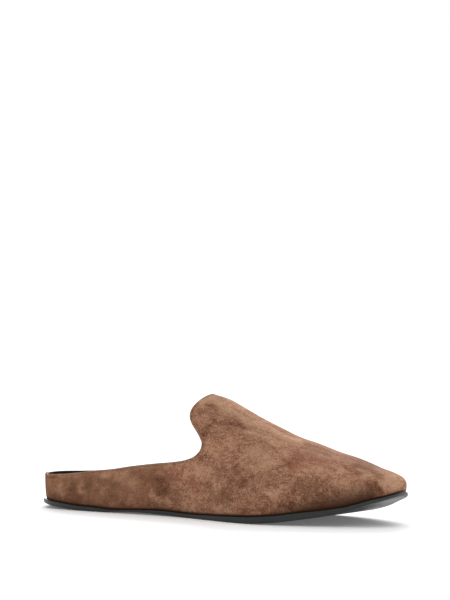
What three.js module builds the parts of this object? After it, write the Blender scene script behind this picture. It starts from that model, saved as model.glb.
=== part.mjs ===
// A flat mule for the right foot: a thin outsole, a hollow upper with a low heel wall and a tongue, and an insole.
// The toe points to +X, the inner side of the foot is at +Y, and the floor is z = 0. Lengths are millimetres.
import * as THREE from "three";
import { mergeVertices } from "three/addons/utils/BufferGeometryUtils.js";

// Overall sizes.
const SOLE_LENGTH = 288;
const BALL_WIDTH = 99;
const WAIST_WIDTH = 63;
const HEEL_WIDTH = 67;
const TOE_WIDTH = 52;

// Heights of the sole's underside above the floor.
const TOE_SPRING = 21.6;
const ARCH_LIFT = 1.3;
const HEEL_LIFT = 3.4;

// Outsole.
const HEEL_THICKNESS = 3.3;
const WAIST_THICKNESS = 1.5;
const BALL_THICKNESS = 5;
const TIP_THICKNESS = 2.1;
const SOLE_EDGE_ROUND = 1.1;

// Upper, with its heights above the top of the outsole.
const UPPER_WALL = 2;
const WELT_MARGIN = 2.0;
const HEEL_WALL_HEIGHT = 17.4;
const NOTCH_HEIGHT = 46.2;
const INSTEP_HEIGHT = 81;
const TOE_BOX_HEIGHT = 18;
const TONGUE_REACH = 17.4;
const NOTCH_PLACE = 149;

// Insole.
const INSOLE_THICKNESS = 3;
const INSOLE_EDGE_ROUND = 1;

// Clearance between pieces that meet.
const CLEARANCE = 0.3;

// How finely the surfaces are divided.
const STATIONS = { quarter: 36, vamp: 34, plate: 56 };
const WALL_ROWS = 7;
const TONGUE_ROWS = 10;
const TONGUE_ROW_POWER = 1.4;
const EDGE_STEPS = 3;

// Angle round a section of the last: negative below the widest point, a right angle at the ridge.
const FEATHER_ANGLE = THREE.MathUtils.degToRad(-65);
const RIDGE_ANGLE = Math.PI / 2;
const TOE_SIDE_ANGLE = THREE.MathUtils.degToRad(38);

// Plan of the sole: half width and the place of its middle, as shares of the width named in the row.
const PLAN = [
  { at: 0.0, half: 0.0, middle: 0.0, of: HEEL_WIDTH },
  { at: 0.0245, half: 0.3, middle: 0.0, of: HEEL_WIDTH },
  { at: 0.06, half: 0.43, middle: 0.0, of: HEEL_WIDTH },
  { at: 0.11, half: 0.485, middle: 0.0, of: HEEL_WIDTH },
  { at: 0.18, half: 0.5, middle: 0.0, of: HEEL_WIDTH },
  { at: 0.27, half: 0.492, middle: -0.008, of: HEEL_WIDTH },
  { at: 0.35, half: 0.504, middle: -0.02, of: WAIST_WIDTH },
  { at: 0.42, half: 0.5, middle: -0.026, of: WAIST_WIDTH },
  { at: 0.49, half: 0.548, middle: -0.028, of: WAIST_WIDTH },
  { at: 0.56, half: 0.408, middle: -0.018, of: BALL_WIDTH },
  { at: 0.63, half: 0.466, middle: -0.014, of: BALL_WIDTH },
  { at: 0.68, half: 0.494, middle: -0.004, of: BALL_WIDTH },
  { at: 0.72, half: 0.5, middle: 0.008, of: BALL_WIDTH },
  { at: 0.76, half: 0.488, middle: 0.02, of: BALL_WIDTH },
  { at: 0.81, half: 0.453, middle: 0.028, of: BALL_WIDTH },
  { at: 0.86, half: 0.4, middle: 0.034, of: BALL_WIDTH },
  { at: 0.9, half: 0.65, middle: 0.07, of: TOE_WIDTH },
  { at: 0.935, half: 0.54, middle: 0.075, of: TOE_WIDTH },
  { at: 0.96, half: 0.435, middle: 0.085, of: TOE_WIDTH },
  { at: 0.98, half: 0.322, middle: 0.09, of: TOE_WIDTH },
  { at: 0.993, half: 0.2, middle: 0.094, of: TOE_WIDTH },
  { at: 1.0, half: 0.0, middle: 0.096, of: TOE_WIDTH },
];

// Underside of the sole above the floor.
const LIFT = [
  { at: 0.0, share: 1.0, of: HEEL_LIFT },
  { at: 0.025, share: 0.92, of: HEEL_LIFT },
  { at: 0.05, share: 0.78, of: HEEL_LIFT },
  { at: 0.075, share: 0.56, of: HEEL_LIFT },
  { at: 0.1, share: 0.38, of: HEEL_LIFT },
  { at: 0.13, share: 0.17, of: HEEL_LIFT },
  { at: 0.16, share: 0.03, of: HEEL_LIFT },
  { at: 0.18, share: 0.0, of: HEEL_LIFT },
  { at: 0.23, share: 0.0, of: ARCH_LIFT },
  { at: 0.28, share: 0.65, of: ARCH_LIFT },
  { at: 0.33, share: 1.0, of: ARCH_LIFT },
  { at: 0.39, share: 0.65, of: ARCH_LIFT },
  { at: 0.45, share: 0.2, of: ARCH_LIFT },
  { at: 0.5, share: 0.0, of: ARCH_LIFT },
  { at: 0.6, share: 0.0, of: TOE_SPRING },
  { at: 0.68, share: 0.0, of: TOE_SPRING },
  { at: 0.72, share: 0.035, of: TOE_SPRING },
  { at: 0.76, share: 0.085, of: TOE_SPRING },
  { at: 0.8, share: 0.165, of: TOE_SPRING },
  { at: 0.85, share: 0.28, of: TOE_SPRING },
  { at: 0.9, share: 0.445, of: TOE_SPRING },
  { at: 0.95, share: 0.69, of: TOE_SPRING },
  { at: 1.0, share: 1.0, of: TOE_SPRING },
];

// Thickness of the outsole.
const THICKNESS = [
  { at: 0.0, share: 1.0, of: HEEL_THICKNESS },
  { at: 0.16, share: 1.0, of: HEEL_THICKNESS },
  { at: 0.215, share: 0.86, of: HEEL_THICKNESS },
  { at: 0.27, share: 1.0, of: WAIST_THICKNESS },
  { at: 0.33, share: 1.05, of: WAIST_THICKNESS },
  { at: 0.4, share: 1.85, of: WAIST_THICKNESS },
  { at: 0.5, share: 0.56, of: BALL_THICKNESS },
  { at: 0.58, share: 0.68, of: BALL_THICKNESS },
  { at: 0.66, share: 0.86, of: BALL_THICKNESS },
  { at: 0.74, share: 0.93, of: BALL_THICKNESS },
  { at: 0.82, share: 0.94, of: BALL_THICKNESS },
  { at: 0.87, share: 0.78, of: BALL_THICKNESS },
  { at: 0.92, share: 0.54, of: BALL_THICKNESS },
  { at: 0.96, share: 1.1, of: TIP_THICKNESS },
  { at: 1.0, share: 1.0, of: TIP_THICKNESS },
];

// Top line of the last above the outsole.
const RIDGE = [
  { at: 0.0, share: 0.98, of: INSTEP_HEIGHT },
  { at: 0.3, share: 1.031, of: INSTEP_HEIGHT },
  { at: 0.42, share: 1.039, of: INSTEP_HEIGHT },
  { at: 0.48, share: 1.007, of: INSTEP_HEIGHT },
  { at: 0.52, share: 0.969, of: INSTEP_HEIGHT },
  { at: 0.56, share: 0.896, of: INSTEP_HEIGHT },
  { at: 0.6, share: 0.817, of: INSTEP_HEIGHT },
  { at: 0.65, share: 0.727, of: INSTEP_HEIGHT },
  { at: 0.7, share: 0.641, of: INSTEP_HEIGHT },
  { at: 0.75, share: 0.571, of: INSTEP_HEIGHT },
  { at: 0.8, share: 0.486, of: INSTEP_HEIGHT },
  { at: 0.85, share: 0.418, of: INSTEP_HEIGHT },
  { at: 0.89, share: 1.587, of: TOE_BOX_HEIGHT },
  { at: 0.93, share: 1.228, of: TOE_BOX_HEIGHT },
  { at: 0.96, share: 0.941, of: TOE_BOX_HEIGHT },
  { at: 0.98, share: 0.735, of: TOE_BOX_HEIGHT },
  { at: 0.992, share: 0.565, of: TOE_BOX_HEIGHT },
  { at: 1.0, share: 0.37, of: TOE_BOX_HEIGHT },
];

// Form of the sections: height of the widest point over the ridge's, inset of the feather edge in walls,
// the ridge's place over the half width towards the inner side, and how peaked the section is (1 is an ellipse).
const FORM = [
  { at: 0.0, widest: 0.22, tuck: 0.5, lean: 0.0, peak: 1.0 },
  { at: 0.2, widest: 0.2, tuck: 0.8, lean: 0.0, peak: 1.0 },
  { at: 0.4, widest: 0.17, tuck: 1.0, lean: 0.06, peak: 1.0 },
  { at: 0.52, widest: 0.17, tuck: 1.0, lean: 0.1, peak: 1.05 },
  { at: 0.7, widest: 0.24, tuck: 1.0, lean: 0.12, peak: 1.0 },
  { at: 0.85, widest: 0.34, tuck: 0.9, lean: 0.08, peak: 0.92 },
  { at: 0.95, widest: 0.42, tuck: 0.7, lean: 0.0, peak: 0.86 },
  { at: 1.0, widest: 0.55, tuck: 0.45, lean: 0.0, peak: 0.86 },
];

// Collar from the heel's back to the notch: place over the notch's, and height above the outsole.
const COLLAR = [
  { at: 0.0, share: 1.0, of: HEEL_WALL_HEIGHT },
  { at: 0.008, share: 1.0, of: HEEL_WALL_HEIGHT },
  { at: 0.03, share: 0.995, of: HEEL_WALL_HEIGHT },
  { at: 0.07, share: 1.003, of: HEEL_WALL_HEIGHT },
  { at: 0.13, share: 1.06, of: HEEL_WALL_HEIGHT },
  { at: 0.21, share: 1.167, of: HEEL_WALL_HEIGHT },
  { at: 0.31, share: 1.33, of: HEEL_WALL_HEIGHT },
  { at: 0.42, share: 1.5, of: HEEL_WALL_HEIGHT },
  { at: 0.54, share: 0.637, of: NOTCH_HEIGHT },
  { at: 0.67, share: 0.685, of: NOTCH_HEIGHT },
  { at: 0.79, share: 0.723, of: NOTCH_HEIGHT },
  { at: 0.88, share: 0.773, of: NOTCH_HEIGHT },
  { at: 0.94, share: 0.829, of: NOTCH_HEIGHT },
  { at: 0.975, share: 0.885, of: NOTCH_HEIGHT },
  { at: 0.993, share: 0.942, of: NOTCH_HEIGHT },
  { at: 1.0, share: 1.0, of: NOTCH_HEIGHT },
];

// Edge of the tongue from the notch round to the ridge: how far it lies behind the notch.
const TONGUE = [
  { round: 0.0, back: 0.0 },
  { round: 0.05, back: 0.04 },
  { round: 0.1, back: 0.19 },
  { round: 0.15, back: 0.38 },
  { round: 0.2, back: 0.59 },
  { round: 0.25, back: 0.78 },
  { round: 0.31, back: 0.93 },
  { round: 0.38, back: 1.0 },
  { round: 0.48, back: 0.985 },
  { round: 0.6, back: 0.9 },
  { round: 0.72, back: 0.81 },
  { round: 0.86, back: 0.73 },
  { round: 1.0, back: 0.7 },
];

// Turns a share of the length into a parameter that is spaced closely at both ends.
function endParameter(share) {
  return Math.acos(1 - 2 * THREE.MathUtils.clamp(share, 0, 1)) / Math.PI;
}

function smoothColumn(positions, values) {
  const curve = new THREE.CubicInterpolant(positions, values, 1);
  return (position) => curve.evaluate(position)[0];
}

// A smooth function of the share of the sole's length through a table's rows.
function alongSole(rows, value) {
  const curve = smoothColumn(rows.map((row) => endParameter(row.at)), rows.map(value));
  return (share) => curve(endParameter(share));
}

const halfWidth = alongSole(PLAN, (row) => row.half * row.of);
const middle = alongSole(PLAN, (row) => row.middle * row.of);
const undersideHeight = alongSole(LIFT, (row) => row.share * row.of);
const soleThickness = alongSole(THICKNESS, (row) => row.share * row.of);
const ridgeHeight = alongSole(RIDGE, (row) => row.share * row.of);
const widestShare = alongSole(FORM, (row) => row.widest);
const tuckShare = alongSole(FORM, (row) => row.tuck);
const ridgeLean = alongSole(FORM, (row) => row.lean);
const peakPower = alongSole(FORM, (row) => row.peak);

const underside = (x) => Math.max(0, undersideHeight(x / SOLE_LENGTH));
const soleTop = (x) => underside(x) + soleThickness(x / SOLE_LENGTH);
const feather = (x) => soleTop(x) + CLEARANCE;

// A point of the sole's plan at a share of its length, moved outward by an offset. Side is -1 outside, 1 inside.
function planPoint(share, side, offset) {
  const step = 1e-4;
  const at = endParameter(share);
  const before = Math.max(0, at - step);
  const after = Math.min(1, at + step);
  const shareOf = (t) => (1 - Math.cos(Math.PI * t)) / 2;
  const edge = (t) => middle(shareOf(t)) + side * halfWidth(shareOf(t));
  const alongX = (SOLE_LENGTH * Math.PI * Math.sin(Math.PI * at)) / 2;
  const alongY = (edge(after) - edge(before)) / (after - before);
  const outward = new THREE.Vector2(side < 0 ? alongY : -alongY, side < 0 ? -alongX : alongX).normalize();
  return new THREE.Vector2(share * SOLE_LENGTH, edge(at)).addScaledVector(outward, offset);
}

// The point of the plan's middle line that lies between the two sides, moved outward by the same offset.
function middlePoint(share, offset) {
  const outer = planPoint(share, -1, offset);
  const inner = planPoint(share, 1, offset);
  return new THREE.Vector2((outer.x + inner.x) / 2, middle(share));
}

// A point of the last's surface on the section at a share of the length, at an angle round it.
function lastPoint(share, angle, side) {
  const ridge = ridgeHeight(share);
  const widest = ridge * widestShare(share);
  const tuck = UPPER_WALL * tuckShare(share);
  if (angle <= 0) {
    const inset = (tuck * (1 - Math.cos(angle))) / (1 - Math.cos(FEATHER_ANGLE));
    const plan = planPoint(share, side, tuck - WELT_MARGIN - inset);
    const rise = widest * (1 - Math.sin(angle) / Math.sin(FEATHER_ANGLE));
    return new THREE.Vector3(plan.x, plan.y, feather(plan.x) + rise);
  }
  const top = middlePoint(share, tuck - WELT_MARGIN);
  top.y += ridgeLean(share) * halfWidth(share);
  const across = Math.cos(angle) ** peakPower(share);
  const up = Math.sin(angle) ** peakPower(share);
  const plan = top.lerp(planPoint(share, side, tuck - WELT_MARGIN), across);
  return new THREE.Vector3(plan.x, plan.y, feather(plan.x) + widest + (ridge - widest) * up);
}

// The angle at which the section reaches a height above the outsole.
function angleAtHeight(share, height) {
  const ridge = ridgeHeight(share);
  const widest = ridge * widestShare(share);
  if (height <= widest) {
    return Math.asin((1 - height / widest) * Math.sin(FEATHER_ANGLE));
  }
  return Math.asin(((height - widest) / (ridge - widest)) ** (1 / peakPower(share)));
}

// Stations along the upper with the angle where the wall rows end: at the collar, then along the vamp's side.
function wallStations() {
  const steps = COLLAR.map((row, i) => i / (COLLAR.length - 1));
  const placeAt = smoothColumn(steps, COLLAR.map((row) => endParameter(row.at * NOTCH_PLACE / SOLE_LENGTH)));
  const heightAt = smoothColumn(steps, COLLAR.map((row) => row.share * row.of));
  const quarter = Array.from({ length: STATIONS.quarter }, (_, i) => {
    const share = (1 - Math.cos(Math.PI * placeAt(i / STATIONS.quarter))) / 2;
    return { share, top: angleAtHeight(share, heightAt(i / STATIONS.quarter)) };
  });
  const notch = NOTCH_PLACE / SOLE_LENGTH;
  const notchAngle = angleAtHeight(notch, NOTCH_HEIGHT);
  const vamp = Array.from({ length: STATIONS.vamp + 1 }, (_, i) => {
    const along = Math.sin((Math.PI / 2) * (i / STATIONS.vamp));
    const share = notch + (1 - notch) * along;
    return { share, top: THREE.MathUtils.lerp(notchAngle, TOE_SIDE_ANGLE, along), along };
  });
  return { quarter, vamp };
}

// Adds the quads of a grid of points, with its faces out on the given side.
function addGrid(faces, grid, side) {
  for (let i = 0; i + 1 < grid.length; i += 1) {
    for (let j = 0; j + 1 < grid[i].length; j += 1) {
      const quad = [grid[i][j], grid[i + 1][j], grid[i + 1][j + 1], grid[i][j + 1]];
      if (side > 0) {
        quad.reverse();
      }
      faces.push([quad[0], quad[1], quad[2]], [quad[0], quad[2], quad[3]]);
    }
  }
}

// Makes an indexed geometry of faces, with shared points merged and faces without area left out.
function geometryFrom(faces) {
  const loose = new THREE.BufferGeometry().setFromPoints(faces.flat());
  const merged = mergeVertices(loose, 1e-4);
  const index = merged.index.array;
  const kept = [];
  for (let i = 0; i < index.length; i += 3) {
    const [a, b, c] = [index[i], index[i + 1], index[i + 2]];
    if (a !== b && b !== c && c !== a) {
      kept.push(a, b, c);
    }
  }
  merged.setIndex(kept);
  return merged;
}

// Gives a sheet a wall on its inner side, closed along its open edges.
function thicken(sheet, innerPoint) {
  sheet.computeVertexNormals();
  const { position, normal } = sheet.attributes;
  const outer = Array.from({ length: position.count }, (_, i) => new THREE.Vector3().fromBufferAttribute(position, i));
  const inner = outer.map((point, i) => innerPoint(point, new THREE.Vector3().fromBufferAttribute(normal, i)));
  const index = sheet.index.array;
  const edges = new Set();
  const faces = [];
  for (let i = 0; i < index.length; i += 3) {
    const corners = [index[i], index[i + 1], index[i + 2]];
    faces.push(corners.map((corner) => outer[corner]));
    faces.push(corners.map((corner) => inner[corner]).reverse());
    corners.forEach((corner, k) => edges.add(`${corner},${corners[(k + 1) % corners.length]}`));
  }
  edges.forEach((edge) => {
    const [a, b] = edge.split(",").map(Number);
    if (!edges.has(`${b},${a}`)) {
      faces.push([outer[b], outer[a], inner[a]], [outer[b], inner[a], inner[b]]);
    }
  });
  return geometryFrom(faces);
}

function upperGeometry() {
  const { quarter, vamp } = wallStations();
  const stations = [...quarter, ...vamp];
  const backOf = smoothColumn(TONGUE.map((row) => row.round), TONGUE.map((row) => row.back * TONGUE_REACH));
  const faces = [];
  for (const side of [-1, 1]) {
    const wall = stations.map(({ share, top }) => Array.from({ length: WALL_ROWS + 1 }, (_, j) =>
      lastPoint(share, THREE.MathUtils.lerp(FEATHER_ANGLE, top, j / WALL_ROWS), side)));
    const tongue = vamp.map(({ share, top, along }) => Array.from({ length: TONGUE_ROWS + 1 }, (_, j) => {
      const round = (j / TONGUE_ROWS) ** TONGUE_ROW_POWER;
      const back = (backOf(round) / SOLE_LENGTH) * (1 - along) ** 2;
      return lastPoint(share - back, THREE.MathUtils.lerp(top, RIDGE_ANGLE, round), side);
    }));
    addGrid(faces, wall, side);
    addGrid(faces, tongue, side);
  }
  const onFeather = (point) => Math.abs(point.z - feather(point.x)) < CLEARANCE / 10;
  return thicken(geometryFrom(faces), (point, normal) => {
    if (onFeather(point)) {
      const level = new THREE.Vector3(normal.x, normal.y, 0).normalize();
      const inside = point.clone().addScaledVector(level, -UPPER_WALL);
      return inside.setZ(feather(inside.x));
    }
    return point.clone().addScaledVector(normal, -UPPER_WALL);
  });
}

// A bent plate between two heights, with its plan moved outward by an offset and one edge rounded.
function plateGeometry({ offset, bottom, top, round, roundTop }) {
  const count = STATIONS.plate;
  const faces = [];
  const edges = Array.from({ length: EDGE_STEPS + 1 }, (_, k) => (k / EDGE_STEPS) * (Math.PI / 2));
  for (const side of [-1, 1]) {
    const grid = Array.from({ length: count + 1 }, (_, i) => {
      const share = (1 - Math.cos((Math.PI * i) / count)) / 2;
      const at = (plan, z) => new THREE.Vector3(plan.x, plan.y, z(plan.x));
      const flat = planPoint(share, side, offset - round);
      const spine = middlePoint(share, offset - round);
      const rounded = edges.map((angle) => {
        const drop = round * (1 - Math.cos(angle));
        const plan = planPoint(share, side, offset - round * (1 - Math.sin(angle)));
        return at(plan, roundTop ? (x) => top(x) - drop : (x) => bottom(x) + drop);
      });
      const square = at(planPoint(share, side, offset), roundTop ? bottom : top);
      return roundTop
        ? [at(spine, bottom), at(flat, bottom), square, ...rounded.reverse(), at(spine, top)]
        : [at(spine, bottom), ...rounded, square, at(flat, top), at(spine, top)];
    });
    addGrid(faces, grid, side);
  }
  return geometryFrom(faces);
}

function mesh(name, geometry, colour, roughness) {
  const material = new THREE.MeshStandardMaterial({ color: colour, roughness, metalness: 0 });
  const piece = new THREE.Mesh(geometry, material);
  piece.name = name;
  return piece;
}

const mule = new THREE.Group();

mule.add(mesh("outsole", plateGeometry({
  offset: 0,
  bottom: underside,
  top: soleTop,
  round: SOLE_EDGE_ROUND,
  roundTop: false,
}), 0x2d302f, 0.45));

mule.add(mesh("upper", upperGeometry(), 0x85654e, 0.95));

mule.add(mesh("insole", plateGeometry({
  offset: -WELT_MARGIN - UPPER_WALL - CLEARANCE,
  bottom: feather,
  top: (x) => feather(x) + INSOLE_THICKNESS,
  round: INSOLE_EDGE_ROUND,
  roundTop: true,
}), 0x1d1a19, 0.6));

// The origin is on the floor under the middle of the whole.
const box = new THREE.Box3().setFromObject(mule);
const centre = box.getCenter(new THREE.Vector3());
mule.position.set(-centre.x, -centre.y, 0);

export default mule;
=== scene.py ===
"""A flat mule for the right foot, dressed for its photograph.

The mule is built on one form, the last: a suede upper with its lining, a thin leather outsole and a footbed.
Lengths in the tables are millimetres from the heel's back, with the toe to +X and the inner side at +Y.
"""

import logging
import math
from collections.abc import Callable
from dataclasses import dataclass
from enum import Enum

import bpy
import numpy as np
from mathutils import Matrix, Vector

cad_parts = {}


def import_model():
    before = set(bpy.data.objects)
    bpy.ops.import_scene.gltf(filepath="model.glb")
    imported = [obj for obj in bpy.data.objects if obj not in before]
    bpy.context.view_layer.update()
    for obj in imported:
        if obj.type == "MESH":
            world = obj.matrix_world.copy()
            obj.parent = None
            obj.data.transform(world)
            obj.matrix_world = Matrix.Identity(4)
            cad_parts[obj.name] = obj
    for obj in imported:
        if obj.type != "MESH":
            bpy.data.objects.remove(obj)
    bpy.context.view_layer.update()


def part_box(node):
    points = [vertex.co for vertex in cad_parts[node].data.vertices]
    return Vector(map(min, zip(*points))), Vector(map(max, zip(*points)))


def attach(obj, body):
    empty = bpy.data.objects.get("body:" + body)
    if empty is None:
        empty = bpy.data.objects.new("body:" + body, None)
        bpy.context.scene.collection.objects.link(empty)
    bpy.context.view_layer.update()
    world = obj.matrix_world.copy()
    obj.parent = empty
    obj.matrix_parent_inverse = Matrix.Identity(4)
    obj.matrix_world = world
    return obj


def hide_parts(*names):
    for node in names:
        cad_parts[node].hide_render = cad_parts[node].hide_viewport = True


log = logging.getLogger("mule")

MM = 0.001

# Points of a skin that lie closer than this, in millimetres, are one.
MERGE = 1e-4
# Lengths are never divided by less than this.
TINY = 1e-9

# A height that depends on x, and a point, direction or set of waves along x, y and z.
Height = Callable[[np.ndarray], np.ndarray]
Point = tuple[float, float, float]

# Noise and the nap's tone run from nought to one about this.
MID_TONE = 0.5
WHITE = (1.0, 1.0, 1.0, 1.0)

# Widths and heights that the tables' shares are of.
BALL_WIDTH = 99.0
WAIST_WIDTH = 63.0
HEEL_WIDTH = 67.0
TOE_WIDTH = 52.0
TOE_SPRING = 21.6
ARCH_LIFT = 1.3
HEEL_LIFT = 3.4
HEEL_THICKNESS = 3.3
WAIST_THICKNESS = 1.5
BALL_THICKNESS = 5.0
TIP_THICKNESS = 2.1
HEEL_WALL_HEIGHT = 17.4
NOTCH_HEIGHT = 46.2
INSTEP_HEIGHT = 81.0
TOE_BOX_HEIGHT = 18.0

# Plan of the sole: place along it, half width and middle as shares of the last column.
PLAN = (
    (0.0, 0.0, 0.0, HEEL_WIDTH),
    (0.0245, 0.3, 0.0, HEEL_WIDTH),
    (0.06, 0.43, 0.0, HEEL_WIDTH),
    (0.11, 0.485, 0.0, HEEL_WIDTH),
    (0.18, 0.5, 0.0, HEEL_WIDTH),
    (0.27, 0.492, -0.008, HEEL_WIDTH),
    (0.35, 0.504, -0.02, WAIST_WIDTH),
    (0.42, 0.5, -0.026, WAIST_WIDTH),
    (0.49, 0.548, -0.028, WAIST_WIDTH),
    (0.56, 0.408, -0.018, BALL_WIDTH),
    (0.63, 0.466, -0.014, BALL_WIDTH),
    (0.68, 0.494, -0.004, BALL_WIDTH),
    (0.72, 0.5, 0.008, BALL_WIDTH),
    (0.76, 0.488, 0.02, BALL_WIDTH),
    (0.81, 0.453, 0.028, BALL_WIDTH),
    (0.86, 0.4, 0.034, BALL_WIDTH),
    (0.9, 0.65, 0.07, TOE_WIDTH),
    (0.935, 0.54, 0.075, TOE_WIDTH),
    (0.96, 0.435, 0.085, TOE_WIDTH),
    (0.98, 0.322, 0.09, TOE_WIDTH),
    (0.993, 0.2, 0.094, TOE_WIDTH),
    (1.0, 0.0, 0.096, TOE_WIDTH),
)

# Underside of the sole above the floor: place, share, height it is a share of.
LIFT = (
    (0.0, 1.0, HEEL_LIFT),
    (0.025, 0.92, HEEL_LIFT),
    (0.05, 0.78, HEEL_LIFT),
    (0.075, 0.56, HEEL_LIFT),
    (0.1, 0.38, HEEL_LIFT),
    (0.13, 0.17, HEEL_LIFT),
    (0.16, 0.03, HEEL_LIFT),
    (0.18, 0.0, HEEL_LIFT),
    (0.23, 0.0, ARCH_LIFT),
    (0.28, 0.65, ARCH_LIFT),
    (0.33, 1.0, ARCH_LIFT),
    (0.39, 0.65, ARCH_LIFT),
    (0.45, 0.2, ARCH_LIFT),
    (0.5, 0.0, ARCH_LIFT),
    (0.6, 0.0, TOE_SPRING),
    (0.68, 0.0, TOE_SPRING),
    (0.72, 0.035, TOE_SPRING),
    (0.76, 0.085, TOE_SPRING),
    (0.8, 0.165, TOE_SPRING),
    (0.85, 0.28, TOE_SPRING),
    (0.9, 0.445, TOE_SPRING),
    (0.95, 0.69, TOE_SPRING),
    (1.0, 1.0, TOE_SPRING),
)

# Thickness of the outsole.
THICKNESS = (
    (0.0, 1.0, HEEL_THICKNESS),
    (0.16, 1.0, HEEL_THICKNESS),
    (0.215, 0.86, HEEL_THICKNESS),
    (0.27, 1.0, WAIST_THICKNESS),
    (0.33, 1.05, WAIST_THICKNESS),
    (0.4, 1.85, WAIST_THICKNESS),
    (0.5, 0.56, BALL_THICKNESS),
    (0.58, 0.68, BALL_THICKNESS),
    (0.66, 0.86, BALL_THICKNESS),
    (0.74, 0.93, BALL_THICKNESS),
    (0.82, 0.94, BALL_THICKNESS),
    (0.87, 0.78, BALL_THICKNESS),
    (0.92, 0.54, BALL_THICKNESS),
    (0.96, 1.1, TIP_THICKNESS),
    (1.0, 1.0, TIP_THICKNESS),
)

# Top line of the last above the outsole.
RIDGE = (
    (0.0, 0.98, INSTEP_HEIGHT),
    (0.3, 1.031, INSTEP_HEIGHT),
    (0.42, 1.039, INSTEP_HEIGHT),
    (0.48, 1.007, INSTEP_HEIGHT),
    (0.52, 0.969, INSTEP_HEIGHT),
    (0.56, 0.896, INSTEP_HEIGHT),
    (0.6, 0.817, INSTEP_HEIGHT),
    (0.65, 0.727, INSTEP_HEIGHT),
    (0.7, 0.641, INSTEP_HEIGHT),
    (0.75, 0.571, INSTEP_HEIGHT),
    (0.8, 0.486, INSTEP_HEIGHT),
    (0.85, 0.418, INSTEP_HEIGHT),
    (0.89, 1.587, TOE_BOX_HEIGHT),
    (0.93, 1.228, TOE_BOX_HEIGHT),
    (0.96, 0.941, TOE_BOX_HEIGHT),
    (0.98, 0.735, TOE_BOX_HEIGHT),
    (0.992, 0.565, TOE_BOX_HEIGHT),
    (1.0, 0.37, TOE_BOX_HEIGHT),
)

# Form of the sections: place, widest point over the ridge, inset of the feather edge, lean of the ridge, peak.
FORM = (
    (0.0, 0.22, 0.5, 0.0, 1.0),
    (0.2, 0.2, 0.8, 0.0, 1.0),
    (0.4, 0.17, 1.0, 0.06, 1.0),
    (0.52, 0.17, 1.0, 0.1, 1.05),
    (0.7, 0.24, 1.0, 0.12, 1.0),
    (0.85, 0.34, 0.9, 0.08, 0.92),
    (0.95, 0.42, 0.7, 0.0, 0.86),
    (1.0, 0.55, 0.45, 0.0, 0.86),
)

# Collar from the heel's back to the notch: place over the notch's, share, height it is a share of.
COLLAR = (
    (0.0, 1.0, HEEL_WALL_HEIGHT),
    (0.008, 1.0, HEEL_WALL_HEIGHT),
    (0.03, 0.995, HEEL_WALL_HEIGHT),
    (0.07, 1.003, HEEL_WALL_HEIGHT),
    (0.13, 1.06, HEEL_WALL_HEIGHT),
    (0.21, 1.167, HEEL_WALL_HEIGHT),
    (0.31, 1.33, HEEL_WALL_HEIGHT),
    (0.42, 1.5, HEEL_WALL_HEIGHT),
    (0.54, 0.637, NOTCH_HEIGHT),
    (0.67, 0.685, NOTCH_HEIGHT),
    (0.79, 0.723, NOTCH_HEIGHT),
    (0.88, 0.773, NOTCH_HEIGHT),
    (0.94, 0.829, NOTCH_HEIGHT),
    (0.975, 0.885, NOTCH_HEIGHT),
    (0.993, 0.942, NOTCH_HEIGHT),
    (1.0, 1.0, NOTCH_HEIGHT),
)

# Edge of the tongue from the notch round to the ridge: share of the way round, share of the reach.
TONGUE = (
    (0.0, 0.0),
    (0.05, 0.04),
    (0.1, 0.19),
    (0.15, 0.38),
    (0.2, 0.59),
    (0.25, 0.78),
    (0.31, 0.93),
    (0.38, 1.0),
    (0.48, 0.985),
    (0.6, 0.9),
    (0.72, 0.81),
    (0.86, 0.73),
    (1.0, 0.7),
)

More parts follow.
